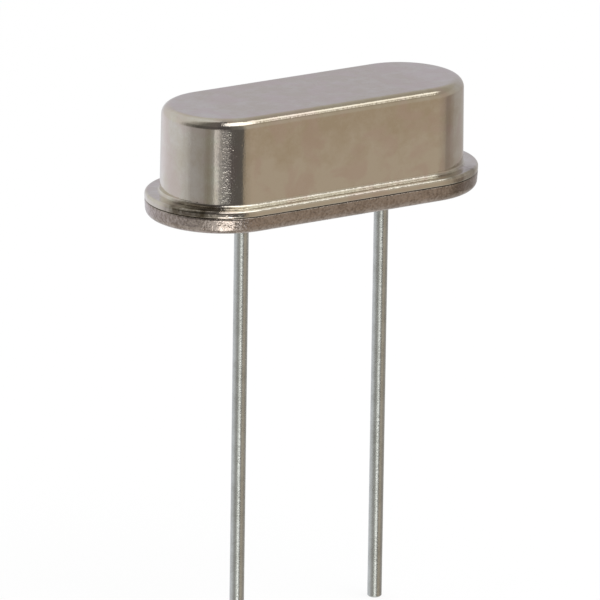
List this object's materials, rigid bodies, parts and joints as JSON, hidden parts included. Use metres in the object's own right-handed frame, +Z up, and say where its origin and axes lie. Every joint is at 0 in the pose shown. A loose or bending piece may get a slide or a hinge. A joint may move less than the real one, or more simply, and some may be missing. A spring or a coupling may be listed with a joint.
{
  "type": "quartz crystal",
  "caption": "Low-profile quartz crystal: a welded oval metal can on a flanged base plate, with straight wire leads sealed in glass.",
  "frame": {"origin": "centre of the base plate's underside, the face that sits on a circuit board", "axes": "+Z up through the can, away from the board; +X along the can's long side and the line of the leads; the leads point along -Z"},
  "size_m": [0.0108, 0.0044, 0.016],
  "materials": {
    "can_metal": "satin, drawn nickel silver",
    "base_metal": "satin, nickel-plated",
    "lead_metal": "satin, tinned wire",
    "seal_glass": "fused, dark blue-green",
    "clip_metal": "bright spring strip",
    "quartz": "lapped",
    "silver_film": "matt, evaporated silver",
    "adhesive": "silver-filled, cured"
  },
  "bodies": {
    "root": {"can": "can_metal", "base_plate": "base_metal", "lead_left": "lead_metal", "lead_right": "lead_metal", "glass_seal_left": "seal_glass", "glass_seal_right": "seal_glass", "clip_left": "clip_metal", "clip_right": "clip_metal", "quartz_blank": "quartz", "electrode_top": "silver_film", "electrode_bottom": "silver_film", "adhesive_left": "adhesive", "adhesive_right": "adhesive"}
  },
  "joints": []
}
